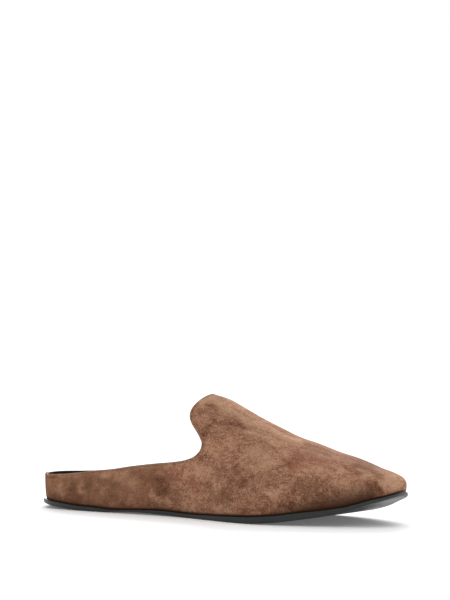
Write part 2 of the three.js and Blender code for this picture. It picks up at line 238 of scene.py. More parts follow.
# Marks in the suede's nap: two ends (x, y, z), radius in millimetres, light or dark, and warm or olive. Among them is
# painted light: the light strokes along the ridge, on the tongue's top and at the toe's tip are painted highlights, and
# the dark strokes at the heel's back are painted shade.
NAP_MARKS_AND_PAINTED_LIGHT = (
    ((30, -31, 18), (30, -31, 13), 3.87, 0.55, -0.2),
    ((48, -33, 18), (50, -32, 9), 2.82, 0.4, 0),
    ((42, -33, 21), (43, -32, 9), 3.17, -1.1, -0.4),
    ((55, -33, 22), (55, -33, 19), 3.1, -0.9, -0.1),
    ((34, -32, 23), (34, -32, 20), 3.17, -0.45, -0.2),
    ((66, -33, 23), (76, -33, 23), 3.52, -0.3, -0.3),
    ((66, -33, 18), (97, -33, 22), 4.23, 0.1, -0.3),
    ((71, -33, 27), (88, -33, 29), 2.11, 0.45, 0.4),
    ((30, -32, 24), (44, -33, 25), 2.11, 0.3, 0.3),
    ((23, -29, 8), (39, -32, 7), 3.17, -0.6, 0.6),
    ((17, -27, 12), (18, -27, 9), 2.82, -0.5, 0),
    ((78, -33, 18), (72, -33, 9), 4.23, -0.6, -0.2),
    ((64, -33, 13), (68, -33, 9), 2.82, -0.3, -0.2),
    ((47, -32, 8), (58, -32, 6), 2.82, -0.55, 0.2),
    ((91, -33, 28), (105, -33, 25), 2.25, -0.55, -0.1),
    ((118, -33, 23), (119, -33, 16), 4.23, -1, 0.15),
    ((107, -33, 20), (109, -33, 18), 2.82, -0.5, 0),
    ((98, -33, 27), (101, -33, 20), 2.82, -0.3, 0),
    ((114, -32, 31), (118, -32, 29), 3.52, 0.1, 0.4),
    ((110, -33, 23), (112, -32, 26), 2.11, -0.3, 0.1),
    ((126, -33, 30), (134, -34, 29), 3.52, -0.45, 0.2),
    ((110, -33, 14), (123, -33, 9), 2.54, 0.8, 0.1),
    ((138, -35, 7), (150, -38, 8), 3.17, 0.35, 0),
    ((123, -32, 33), (152, -38, 34), 3.52, 0.5, 0.4),
    ((138, -34, 37), (147, -34, 42), 2.82, -0.45, -0.2),
    ((146, -37, 25), (152, -39, 22), 4.23, -0.4, 0.5),
    ((65, -32, 5), (108, -32, 7), 1.27, -0.5, 0),
    ((136, -13, 80), (148, -6, 80), 3.17, 0.8, -0.3),
    ((152, -8, 78), (158, -10, 75), 3.17, 0.8, 0),
    ((133, -20, 72), (138, -11, 80), 2.25, 0.2, 0.5),
    ((137, -20, 71), (141, -25, 64), 2.11, 0.15, 0.5),
    ((145, -15, 76), (148, -15, 75), 1.97, -0.6, 0),
    ((139, -19, 73), (142, -19, 72), 2.11, -0.4, 0.2),
    ((150, -22, 68), (154, -22, 66), 2.25, -0.45, 0),
    ((147, -27, 60), (158, -21, 67), 2.39, -0.6, -0.1),
    ((158, -21, 67), (177, -17, 63), 2.54, -0.6, -0.1),
    ((149, -28, 60), (153, -29, 57), 2.54, -0.65, -0.1),
    ((163, -21, 65), (169, -25, 60), 2.82, -0.2, -0.1),
    ((160, -11, 73), (171, -10, 69), 3.52, 0.45, 0),
    ((153, -6, 78), (179, 1, 67), 3.17, 0.6, 0),
    ((172, -9, 69), (183, -6, 64), 3.17, 0.7, 0),
    ((181, -4, 65), (197, -6, 58), 3.87, 0.7, 0),
    ((186, -6, 63), (209, -1, 54), 2.46, 0.25, 0),
    ((198, -1, 58), (213, -1, 53), 3.17, 0.9, 0.1),
    ((192, -18, 57), (200, -20, 53), 4.23, 0.45, -0.1),
    ((156, -33, 50), (175, -32, 52), 3.87, 0.5, 0.4),
    ((161, -35, 47), (174, -38, 43), 2.82, 0.35, 0.2),
    ((149, -34, 43), (152, -36, 40), 3.52, -0.45, -0.4),
    ((147, -30, 54), (151, -32, 50), 2.11, -0.35, -0.1),
    ((188, -33, 49), (204, -34, 44), 4.58, 0.45, -0.3),
    ((200, -42, 36), (206, -37, 42), 4.23, 0.45, -0.3),
    ((209, -36, 42), (215, -27, 46), 3.52, 0.4, 0.1),
    ((180, -36, 47), (182, -38, 45), 2.25, -0.5, 0),
    ((180, -41, 39), (193, -43, 36), 2.54, -0.3, 0),
    ((173, -42, 35), (183, -45, 32), 3.17, -0.35, -0.1),
    ((189, -47, 25), (204, -43, 35), 2.39, -0.6, -0.1),
    ((182, -46, 29), (192, -49, 17), 2.82, -0.3, -0.1),
    ((163, -41, 28), (175, -45, 24), 2.82, 0.3, 0),
    ((161, -42, 22), (180, -47, 18), 4.58, -0.6, -0.5),
    ((166, -44, 14), (180, -47, 13), 2.82, -0.3, -0.4),
    ((167, -43, 24), (171, -44, 22), 2.11, 0.5, 0),
    ((204, -48, 23), (213, -48, 18), 3.52, -0.25, -0.2),
    ((214, -47, 20), (224, -44, 24), 3.17, 0.45, 0),
    ((227, -44, 21), (228, -43, 15), 2.82, -0.7, -0.1),
    ((212, -46, 28), (219, -45, 26), 2.39, -0.4, 0),
    ((172, -45, 9), (184, -47, 10), 3.17, 0.35, 0),
    ((191, -48, 8), (228, -43, 13), 1.69, -0.6, -0.1),
    ((212, -15, 51), (225, -36, 37), 4.23, -0.15, 0.5),
    ((219, -32, 41), (221, -32, 41), 1.97, -0.5, 0.3),
    ((217, -38, 38), (218, -34, 41), 1.83, -0.5, 0.2),
    ((204, -23, 50), (212, -15, 51), 2.11, -0.4, 0.2),
    ((228, -29, 41), (252, -8, 41), 6.34, -0.05, 0.5),
    ((227, -37, 35), (240, -28, 39), 3.52, 0.4, 0.2),
    ((242, -31, 36), (251, -27, 35), 3.52, 0.45, 0.2),
    ((252, -22, 37), (269, -19, 33), 3.52, 0.55, 0.1),
    ((233, -21, 43), (235, -21, 43), 2.39, -0.6, 0.3),
    ((218, -19, 48), (224, -21, 46), 2.39, -0.45, 0.3),
    ((245, -33, 32), (251, -31, 31), 2.39, -0.35, 0.1),
    ((216, 2, 52), (240, 5, 46), 3.52, -0.45, 0.5),
    ((227, -16, 46), (239, -16, 43), 2.82, -0.4, 0.3),
    ((251, -2, 42), (253, 0, 42), 2.39, 0.6, 0.4),
    ((254, -13, 40), (260, -19, 36), 2.39, -0.35, 0.3),
    ((257, -6, 40), (264, -17, 35), 3.17, -0.6, 0.5),
    ((247, 15, 43), (264, 15, 38), 4.23, -1, 0.35),
    ((265, -6, 38), (276, -7, 34), 3.17, -0.4, 0.1),
    ((261, -27, 30), (262, -28, 25), 2.46, 0.5, 0),
    ((237, -40, 26), (248, -35, 27), 4.93, -0.35, -0.5),
    ((250, -34, 27), (259, -30, 23), 2.82, -0.25, -0.2),
    ((275, -16, 31), (281, -7, 32), 2.25, 0.6, 0.1),
    ((279, -14, 28), (281, -12, 26), 2.25, -0.7, 0.3),
    ((282, -9, 29), (286, 8, 31), 3.87, 0.8, -0.1),
    ((285, -4, 26), (287, 5, 25), 2.46, 0.2, 0.2),
    ((272, -21, 29), (273, -20, 25), 2.11, 0.15, 0.2),
    ((136, -7, 83), (163, 5, 75), 3.17, 0.6, -0.1),
    ((166, -7, 72), (171, -3, 70), 1.83, -0.3, 0),
    ((165, -24, 63), (172, -28, 56), 2.39, 0.45, 0),
    ((139, -12, 80), (145, -11, 78), 2.11, 0.3, 0),
    ((186, -45, 33), (200, -46, 30), 2.46, -0.2, 0),
    ((93, -33, 28), (96, -33, 26), 2.46, 0.35, 0.1),
    ((100, -33, 23), (108, -33, 20), 2.82, 0.4, 0.1),
    ((87, -32, 32), (92, -32, 30), 1.83, -0.3, 0),
    ((112, -33, 19), (115, -33, 22), 2.46, -0.3, 0),
    ((152, -26, 62), (157, -27, 61), 2.11, -0.35, 0),
    ((178, 3, 68), (189, 8, 62), 2.46, 0.4, 0),
    ((166, -41, 35), (178, -45, 29), 2.82, -0.25, 0),
    ((224, -43, 28), (229, -43, 25), 2.39, -0.3, 0),
    ((234, -41, 26), (248, -36, 19), 4.23, -0.25, -0.1),
    ((284, -4, 31), (284, 10, 32), 2.82, 0.3, 0),
    ((189, -5, 61), (211, -2, 54), 2.82, 0.4, 0),
    ((217, 5, 52), (238, 7, 46), 1.69, 0.5, 0.2),
    ((200, -3, 57), (224, -7, 49), 3.52, 0.45, 0),
    ((174, -11, 67), (194, -3, 60), 4.23, 0.7, 0),
    ((184, -16, 60), (212, -15, 51), 4.23, 0.45, 0),
    ((137, -9, 82), (163, -3, 74), 2.82, 0.6, 0),
    ((43, -33, 17), (46, -32, 7), 3.17, -0.7, 0.2),
    ((11, -24, 21), (11, -22, 7), 3.52, -0.7, 0.2),
    ((71, -33, 28), (95, -33, 23), 4.23, 0.45, -0.1),
    ((275, -18, 28), (279, -15, 23), 2.82, -0.7, 0.3),
    ((232, -17, 44), (239, -26, 40), 2.82, 0.3, 0),
    ((220, -7, 50), (237, -6, 46), 2.82, -0.5, 0.3),
    ((254, 1, 42), (268, -3, 37), 4.93, -0.5, 0.2),
    ((8, 24, 12), (20, 30, 18), 5.0, 0.4, 0.1),
    ((38, 33, 10), (44, 33, 22), 4.2, -0.8, -0.3),
    ((56, 33, 20), (90, 32, 27), 4.0, -0.5, 0.2),
    ((58, 33, 12), (80, 32, 12), 4.0, 0.4, 0.1),
    ((84, 32, 10), (104, 32, 9), 3.5, -0.5, 0.3),
    ((100, 32, 28), (112, 32, 18), 4.0, 0.45, 0.2),
    ((118, 33, 16), (130, 33, 28), 6.0, -0.9, 0.1),
    ((136, 35, 12), (150, 39, 18), 5.0, 0.5, 0.1),
    ((150, 30, 60), (172, 26, 58), 4.5, -0.7, -0.1),
    ((158, 36, 46), (184, 38, 42), 5.0, 0.4, 0.3),
    ((162, 45, 28), (190, 47, 20), 6.5, -0.7, -0.3),
    ((186, 36, 46), (200, 42, 34), 4.0, -0.6, 0.1),
    ((196, 47, 20), (214, 47, 14), 5.0, 0.5, 0.0),
    ((206, 36, 40), (226, 34, 36), 5.5, 0.5, 0.3),
    ((214, 43, 26), (240, 40, 20), 5.5, -0.7, 0.4),
    ((232, 24, 42), (246, 24, 38), 4.5, -0.4, 0.4),
    ((250, 33, 22), (266, 27, 22), 4.5, -0.6, -0.2),
    ((270, 18, 30), (280, 16, 26), 4.0, 0.5, 0.1),
)


class Side(Enum):
    """A side of the shoe, with the sign of its Y."""

    OUTER = -1
    INNER = 1


class Edge(Enum):
    """Which edge of a plate is rounded."""

    BOTTOM = "bottom"
    TOP = "top"


class SmoothColumn:
    """A smooth curve through a column of a table, level with its end rows outside them."""

    def __init__(self, at: np.ndarray, values: np.ndarray) -> None:
        """Keeps the rows and works out the slope at each.

        Args:
            at: Places of the rows, rising.
            values: Values at the rows.
        """
        self.at = np.asarray(at, float)
        self.values = np.asarray(values, float)
        slopes = np.diff(self.values) / np.diff(self.at)
        self.tangents = np.concatenate([slopes[:1], (slopes[1:] + slopes[:-1]) / 2, slopes[-1:]])

    def __call__(self, place: np.ndarray) -> np.ndarray:
        """The curve's value.

        Args:
            place: Where along the rows.

        Returns:
            The value at each place.
        """
        t = np.clip(place, self.at[0], self.at[-1])
        row = np.clip(np.searchsorted(self.at, t, side="right") - 1, 0, len(self.at) - 2)
        gap = self.at[row + 1] - self.at[row]
        s = (t - self.at[row]) / gap
        start, end = self.values[row], self.values[row + 1]
        go, stop = self.tangents[row] * gap, self.tangents[row + 1] * gap
        return (start * (1 + 2 * s) * (1 - s) ** 2 + go * s * (1 - s) ** 2
                + end * s**2 * (3 - 2 * s) + stop * s**2 * (s - 1))


def end_parameter(share: np.ndarray) -> np.ndarray:
    """Turns a share of the length into a parameter that is spaced closely at both ends."""
    return np.arccos(1 - 2 * np.clip(share, 0, 1)) / math.pi


def share_of(parameter: np.ndarray) -> np.ndarray:
    """The share of the length at an end parameter."""
    return (1 - np.cos(math.pi * parameter)) / 2


class AlongSole:
    """A smooth function of the share of the sole's length, through a column of a table."""

    def __init__(self, rows: tuple, value: Callable[[tuple], float]) -> None:
        """Keeps the column by its rows' places.

        Args:
            rows: The table's rows, each with its place first.
            value: What the values in a row come to.
        """
        places = end_parameter(np.array([row[0] for row in rows]))
        self.curve = SmoothColumn(places, np.array([value(row) for row in rows]))

    def __call__(self, share: np.ndarray) -> np.ndarray:
        """The value at a share of the length."""
        return self.curve(end_parameter(share))


def unit(vectors: np.ndarray) -> np.ndarray:
    """The vectors at a length of one."""
    return vectors / np.maximum(np.linalg.norm(vectors, axis=-1, keepdims=True), TINY)


def bell(value: np.ndarray, width: float) -> np.ndarray:
    """A soft bump: one at nought, and about a third at the width."""
    return np.exp(-((value / width) ** 2))


def falloff(points: np.ndarray, start: Point, end: Point, radius: float) -> np.ndarray:
    """A soft weight about a line between two points.

    Args:
        points: Where it is wanted.
        start: One end of the line.
        end: The other end.
        radius: Where the weight has fallen to about a third.

    Returns:
        Weights from nought to one.
    """
    return bell(distance_to(points, np.array([start, end], float)), radius)


def smooth_step(value: np.ndarray, start: float, end: float) -> np.ndarray:
    """A soft step from nought where the value is at the start to one where it is at the end."""
    t = np.clip((value - start) / (end - start), 0, 1)
    return t * t * (3 - 2 * t)


def distance_to(points: np.ndarray, line: np.ndarray) -> np.ndarray:
    """How far points are from the nearest point of a closed line.

    Args:
        points: Where it is wanted.
        line: Points along the line, in order.

    Returns:
        The distances.
    """
    nearest = np.full(len(points), np.inf)
    for start, end in zip(line, np.roll(line, -1, axis=0)):
        along = end - start
        share = np.clip(((points - start) @ along) / max(float(along @ along), TINY), 0, 1)
        nearest = np.minimum(nearest, np.linalg.norm(points - start - share[:, None] * along, axis=1))
    return nearest


@dataclass
class Last:
    """The form that every piece is built on, in millimetres from the heel's back."""

    length: float = 288.0
    wall: float = 2.0
    welt_margin: float = 2.0
    clearance: float = 0.3
    feather_angle: float = math.radians(-65)
    ridge_angle: float = math.pi / 2
    # Half the stretch over which the plan's direction is measured, as an end parameter.
    slope_step: float = 1e-4

    def __post_init__(self) -> None:
        """Makes the smooth columns of the tables."""
        self.half_width = AlongSole(PLAN, lambda row: row[1] * row[3])
        self.middle = AlongSole(PLAN, lambda row: row[2] * row[3])
        self.underside_height = AlongSole(LIFT, lambda row: row[1] * row[2])
        self.thickness = AlongSole(THICKNESS, lambda row: row[1] * row[2])
        self.ridge = AlongSole(RIDGE, lambda row: row[1] * row[2])
        self.widest = AlongSole(FORM, lambda row: row[1])
        self.tuck = AlongSole(FORM, lambda row: row[2])
        self.lean = AlongSole(FORM, lambda row: row[3])
        self.peak = AlongSole(FORM, lambda row: row[4])

    def underside(self, x: np.ndarray) -> np.ndarray:
        """Height of the sole's underside."""
        return np.maximum(0, self.underside_height(x / self.length))

    def sole_top(self, x: np.ndarray) -> np.ndarray:
        """Height of the sole's top."""
        return self.underside(x) + self.thickness(x / self.length)

    def feather(self, x: np.ndarray) -> np.ndarray:
        """Height where the upper starts."""
        return self.sole_top(x) + self.clearance

    def plan_point(self, share: np.ndarray, side: int, offset: float | np.ndarray) -> np.ndarray:
        """A point of the sole's plan, moved outward.

        Args:
            share: Share of the length.
            side: Sign of Y.
            offset: How far outward.

        Returns:
            The points, with x and y last.
        """
        share = np.asarray(share, float)
        at = end_parameter(share)
        before, after = np.maximum(0, at - self.slope_step), np.minimum(1, at + self.slope_step)

        def edge(t: np.ndarray) -> np.ndarray:
            """Where the plan's edge is, across the sole, at an end parameter."""
            return self.middle(share_of(t)) + side * self.half_width(share_of(t))

        along_x = self.length * math.pi * np.sin(math.pi * at) / 2
        along_y = (edge(after) - edge(before)) / (after - before)
        outward = unit(np.stack([-side * along_y, side * along_x], -1))
        point = np.stack([share * self.length, edge(at)], -1)
        return point + outward * np.asarray(offset, float)[..., None]

    def middle_point(self, share: np.ndarray, offset: float | np.ndarray) -> np.ndarray:
        """The point of the plan's middle line between the two sides at the same offset."""
        both = self.plan_point(share, -1, offset)[..., 0] + self.plan_point(share, 1, offset)[..., 0]
        return np.stack([both / 2, self.middle(share)], -1)

    def surface(self, share: np.ndarray, angle: np.ndarray, side: int) -> np.ndarray:
        """Points of the last's surface.

        Args:
            share: Shares of the length.
            angle: Angles round the sections, negative below the widest point.
            side: Sign of Y.

        Returns:
            The points, with x, y and z last.
        """
        share, angle = np.broadcast_arrays(np.asarray(share, float), np.asarray(angle, float))
        ridge = self.ridge(share)
        widest = ridge * self.widest(share)
        tuck = self.wall * self.tuck(share)
        inset = tuck * (1 - np.cos(angle)) / (1 - math.cos(self.feather_angle))
        low = self.plan_point(share, side, tuck - self.welt_margin - inset)
        low_rise = widest * (1 - np.sin(angle) / math.sin(self.feather_angle))
        top = self.middle_point(share, tuck - self.welt_margin)
        top[..., 1] += self.lean(share) * self.half_width(share)
        lifted = np.clip(angle, 0, self.ridge_angle)
        across = np.abs(np.cos(lifted)) ** self.peak(share)
        up = np.sin(lifted) ** self.peak(share)
        wide = self.plan_point(share, side, tuck - self.welt_margin)
        high = top + (wide - top) * across[..., None]
        below = angle <= 0
        plan = np.where(below[..., None], low, high)
        rise = np.where(below, low_rise, widest + (ridge - widest) * up)
        return np.concatenate([plan, (self.feather(plan[..., 0]) + rise)[..., None]], -1)

    def angle_at(self, share: np.ndarray, height: np.ndarray) -> np.ndarray:
        """The angle at which a section reaches a height above the outsole.

        Args:
            share: Shares of the length.
            height: Heights.

        Returns:
            The angles.
        """
        ridge = self.ridge(share)
        widest = ridge * self.widest(share)
        low = np.arcsin(np.clip(1 - height / widest, -1, 1) * math.sin(self.feather_angle))
        over = np.clip((height - widest) / (ridge - widest), 0, 1)
        high = np.arcsin(over ** (1 / self.peak(share)))
        return np.where(height <= widest, low, high)


@dataclass
class Skin:
    """A quad mesh under construction, in millimetres."""

    points: np.ndarray
    faces: np.ndarray

    @classmethod
    def from_grids(cls, grids: list[tuple[np.ndarray, bool]]) -> tuple["Skin", list[np.ndarray]]:
        """Joins grids of points where they meet.

        Args:
            grids: Each grid of points and whether its faces are turned over.

        Returns:
            The skin, and for each grid the index of its points in the skin.
        """
        every = np.concatenate([grid.reshape(-1, 3) for grid, _ in grids])
        _, first, index = np.unique(np.round(every / MERGE).astype(np.int64), axis=0,
                                    return_index=True, return_inverse=True)
        index = index.reshape(-1)
        faces, maps, start = [], [], 0
        for grid, turned in grids:
            rows, columns = grid.shape[:2]
            own = index[start:start + rows * columns].reshape(rows, columns)
            start += rows * columns
            maps.append(own)
            quad = np.stack([own[:-1, :-1], own[1:, :-1], own[1:, 1:], own[:-1, 1:]], -1).reshape(-1, 4)
            faces.append(quad[:, ::-1] if turned else quad)
        return cls(every[first], np.concatenate(faces)), maps

    def normals(self) -> np.ndarray:
        """Normals of the points, weighted by the faces' areas."""
        a, b, c, d = (self.points[self.faces[:, k]] for k in range(4))
        face = np.cross(c - a, d - b)
        total = np.zeros_like(self.points)
        for k in range(4):
            np.add.at(total, self.faces[:, k], face)
        return unit(total)

    def add(self, points: np.ndarray) -> np.ndarray:
        """Adds points.

        Args:
            points: The new points.

        Returns:
            Their indices.
        """
        start = len(self.points)
        self.points = np.concatenate([self.points, points])
        return np.arange(start, start + len(points))

    def bands(self, loops: list[np.ndarray]) -> None:
        """Adds a closed band of quads between each loop of indices and the next."""
        for near, far in zip(loops, loops[1:]):
            quad = np.stack([near, np.roll(near, -1), np.roll(far, -1), far], -1)
            self.faces = np.concatenate([self.faces, quad])

    def to_object(self, name: str, shift: np.ndarray) -> bpy.types.Object:
        """Makes a Blender object in the row frame.

        Args:
            name: Name of the piece.
            shift: From the heel frame to the row frame, in millimetres.

        Returns:
            The object, shaded smooth.
        """
        polygons = []
        for quad in self.faces.tolist():
            ring = [v for k, v in enumerate(quad) if v != quad[k - 1]]
            if len(set(ring)) >= 3:
                polygons.append(list(dict.fromkeys(ring)))
        mesh = bpy.data.meshes.new(name)
        mesh.from_pydata(((self.points + shift) * MM).tolist(), [], polygons)
        mesh.validate()
        mesh.polygons.foreach_set("use_smooth", [True] * len(mesh.polygons))
        mesh.update()
        piece = bpy.data.objects.new(name, mesh)
        bpy.context.scene.collection.objects.link(piece)
        return piece


def put_values(piece: bpy.types.Object, name: str, values: np.ndarray) -> None:
    """Stores a number for each point of a piece.

    Args:
        piece: The object.
        name: Name of the attribute.
        values: One number a point.
    """
    attribute = piece.data.attributes.new(name, "FLOAT", "POINT")
    attribute.data.foreach_set("value", np.asarray(values, np.float32))


def linear(hex_colour: str) -> tuple[float, float, float, float]:
    """Turns an sRGB hex colour to linear.

    Args:
        hex_colour: Six hex digits.

    Returns:
        Red, green, blue and an alpha of one.
    """
    channels = (int(hex_colour[k:k + 2], 16) / 255 for k in (0, 2, 4))
    red, green, blue = (c / 12.92 if c <= 0.04045 else ((c + 0.055) / 1.055) ** 2.4 for c in channels)
    return (red, green, blue, 1.0)


def feed(tree: bpy.types.NodeTree, node: bpy.types.Node, inputs: dict) -> None:
    """Links or sets a node's sockets.

    Args:
        tree: The tree that it is in.
        node: The node.
        inputs: For a socket's name or number, the socket that feeds it or its value.
    """
    for socket, source in inputs.items():
        if isinstance(source, bpy.types.NodeSocket):
            tree.links.new(source, node.inputs[socket])
        else:
            node.inputs[socket].default_value = source


def add_node(tree: bpy.types.NodeTree, kind: str, inputs: dict | None = None, **settings: object) -> bpy.types.Node:
    """Adds a node with its settings and links.

    Args:
        tree: The tree that it goes in.
        kind: The node's type.
        inputs: For a socket's name or number, the socket that feeds it or its value.
        settings: The node's own settings.

    Returns:
        The node.
    """
    node = tree.nodes.new(kind)
    for name, value in settings.items():
        setattr(node, name, value)
    feed(tree, node, inputs or {})
    return node


def new_material(name: str) -> tuple[bpy.types.Material, bpy.types.NodeTree, bpy.types.Node]:
    """Starts a node material.

    Args:
        name: Name of the finish.

    Returns:
        The material, its tree and its shader.
    """
    material = bpy.data.materials.new(name)
    material.use_nodes = True
    tree = material.node_tree
    return material, tree, tree.nodes["Principled BSDF"]


@dataclass(frozen=True)
class NapNoise:
    """One scale of unevenness in the nap: how wide its patches are, what they are like and how strong."""

    size_mm: float
    detail: float
    roughness: float
    twist: float
    strength: float
    by_grain: bool = False

    def inputs(self) -> dict[str, float]:
        """What the sockets of its texture are set to."""
        return {"Scale": 1 / (self.size_mm * MM), "Detail": self.detail, "Roughness": self.roughness,
                "Distortion": self.twist}


@dataclass(frozen=True)
class NappedSuede:
    """Calf suede, split and brushed: a matt short nap whose lie gives soft light and dark patches."""

    dark: str = "4F3021"
    middle: str = "90614A"
    light: str = "C49B7E"
    warm: str = "90523A"
    olive: str = "776042"
    # Painted shade is mixed in with this dark, which the back seam also takes.
    painted_shade_and_seam_dark: str = "382012"
    # Where the tone reaches its darkest and lightest, and how much of it the marks in the mesh make.
    tone_ends: tuple[float, float] = (0.06, 0.94)
    mark_strength: float = 0.5
    # Brushed patches 5 to 20 mm across, specks and tufts. A real tuft is about 0.3 mm, drawn coarser so that it shows.
    tones: tuple[NapNoise, ...] = (
        NapNoise(26.0, 2.0, 0.5, 0.6, 0.3),
        NapNoise(8.5, 3.0, 0.6, 0.9, 0.55),
        NapNoise(2.6, 2.0, 0.6, 0.3, 0.7, by_grain=True),
        NapNoise(0.7, 1.0, 0.5, 0.0, 1.2, by_grain=True),
    )
    # The hue drifts from warm to olive over the tint in the mesh, and takes at most these shares of either.
    drift: NapNoise = NapNoise(18.2, 2.0, 0.5, 0.5, 0.7)
    warm_share: float = 0.48
    olive_share: float = 0.4
    # Raised tufts and shallow hollows, with their depth in millimetres.
    relief: tuple[tuple[NapNoise, float], ...] = (
        (NapNoise(0.7, 2.0, 0.6, 0.0, 0.35), 0.25),
        (NapNoise(8.5, 2.0, 0.5, 0.4, 0.25), 1.2),
    )
    # The nap is brushed along the shoe, so its patches run longer that way.
    brushed_angle: float = 14.0
    brushed_stretch: float = 0.6
    # The closed seam up the heel's back, pressed flat.
    seam_mm: float = 0.7
    seam_shade: float = 0.55
    # Upright fibres scatter light to the side, which shows as a faint pale bloom where the form turns away.
    roughness: float = 0.92
    shine: float = 0.12
    sheen: float = 0.22
    sheen_roughness: float = 0.45
    sheen_tint: str = "DBA880"

    def build(self) -> bpy.types.Material:
        """Makes the material, which reads the marks stored in the mesh.

        Returns:
            The material.
        """
        material, tree, shader = new_material("brushed_calf_suede")
        place = add_node(tree, "ShaderNodeTexCoord").outputs["Object"]
        brushed = add_node(tree, "ShaderNodeMapping", {
            "Vector": place, "Rotation": (0.0, math.radians(self.brushed_angle), 0.0),
            "Scale": (self.brushed_stretch, 1.0, 1.0)}).outputs["Vector"]
        # Of the marks in the mesh, nap holds painted highlights and painted shade as well as the nap's own tone, and
        # shade holds painted shade.
        marks = {name: add_node(tree, "ShaderNodeAttribute", attribute_name=name).outputs["Fac"]
                 for name in ("nap", "tint", "shade", "grain", "seam")}
        feed(tree, shader, {
            "Base Color": self.colour(tree, brushed, marks), "Normal": self.normal(tree, brushed),
            "Roughness": self.roughness, "Specular IOR Level": self.shine, "Sheen Weight": self.sheen,
            "Sheen Roughness": self.sheen_roughness, "Sheen Tint": linear(self.sheen_tint)})
        return material

    def tone(self, tree: bpy.types.NodeTree, brushed: bpy.types.NodeSocket, marks: dict) -> bpy.types.NodeSocket:
        """How light the nap is: its marks, which hold painted highlights and painted shade too, and each scale of
        unevenness over them.

        Args:
            tree: The material's tree.
            brushed: Place, stretched along the brushing.
            marks: The marks in the mesh by name.

        Returns:
            The tone, from nought to one.
        """
        level = add_node(tree, "ShaderNodeMath", {0: marks["nap"], 1: self.mark_strength, 2: MID_TONE},
                         operation="MULTIPLY_ADD").outputs[0]
        for scale in self.tones:
            noise = add_node(tree, "ShaderNodeTexNoise", {"Vector": brushed, **scale.inputs()}).outputs["Fac"]
            even = add_node(tree, "ShaderNodeMath", {0: noise, 1: MID_TONE}, operation="SUBTRACT").outputs[0]
            strength = scale.strength
            if scale.by_grain:
                strength = add_node(tree, "ShaderNodeMath", {0: marks["grain"], 1: strength},
                                    operation="MULTIPLY").outputs[0]
            level = add_node(tree, "ShaderNodeMath", {0: even, 1: strength, 2: level},
                             operation="MULTIPLY_ADD").outputs[0]
        return level

    def colour(self, tree: bpy.types.NodeTree, brushed: bpy.types.NodeSocket, marks: dict) -> bpy.types.NodeSocket:
        """The suede's colour: its tone, then warm and olive parts, then the painted shade and the dark of the back
        seam.

        Args:
            tree: The material's tree.
            brushed: Place, stretched along the brushing.
            marks: The marks in the mesh by name.

        Returns:
            The colour.
        """
        ramp = add_node(tree, "ShaderNodeValToRGB", {"Fac": self.tone(tree, brushed, marks)})
        ramp.color_ramp.interpolation = "B_SPLINE"
        stops = ramp.color_ramp.elements
        stops[0].position, stops[1].position = self.tone_ends
        stops[0].color, stops[1].color = linear(self.dark), linear(self.light)
        stops.new(MID_TONE).color = linear(self.middle)
        noise = add_node(tree, "ShaderNodeTexNoise", {"Vector": brushed, **self.drift.inputs()}).outputs["Fac"]
        even = add_node(tree, "ShaderNodeMath", {0: noise, 1: MID_TONE}, operation="SUBTRACT").outputs[0]
        lie = add_node(tree, "ShaderNodeMath", {0: even, 1: self.drift.strength, 2: marks["tint"]},
                       operation="MULTIPLY_ADD").outputs[0]
        mixes = []
        for share, hue in ((self.warm_share, self.warm), (-self.olive_share, self.olive)):
            leaning = add_node(tree, "ShaderNodeMath", {0: lie, 1: share}, operation="MULTIPLY").outputs[0]
            mixes.append((add_node(tree, "ShaderNodeMath", {0: leaning, 1: 0.0}, operation="MAXIMUM"), hue))
        seam = add_node(tree, "ShaderNodeMapRange", {
            "Value": marks["seam"], "From Min": self.seam_mm / 2, "From Max": self.seam_mm,
            "To Min": self.seam_shade, "To Max": 0.0}).outputs["Result"]
        # The shade mark is painted shade; it darkens the suede as the back seam does.
        mixes.append((add_node(tree, "ShaderNodeMath", {0: marks["shade"], 1: seam}, operation="MAXIMUM"),
                      self.painted_shade_and_seam_dark))
        colour = ramp.outputs["Color"]
        for amount, hue in mixes:
            colour = add_node(tree, "ShaderNodeMix", {0: amount.outputs[0], 6: colour, 7: linear(hue)},
                              data_type="RGBA", clamp_factor=True).outputs[2]
        return colour

    def normal(self, tree: bpy.types.NodeTree, brushed: bpy.types.NodeSocket) -> bpy.types.NodeSocket:
        """The relief of tufts and hollows.

        Args:
            tree: The material's tree.
            brushed: Place, stretched along the brushing.

        Returns:
            The bent normal.
        """
        bent = {}
        for scale, depth_mm in self.relief:
            noise = add_node(tree, "ShaderNodeTexNoise", {"Vector": brushed, **scale.inputs()}).outputs["Fac"]
            bump = add_node(tree, "ShaderNodeBump", {
                "Height": noise, "Strength": scale.strength, "Distance": depth_mm * MM, **bent})
            bent = {"Normal": bump.outputs["Normal"]}
        return bent["Normal"]


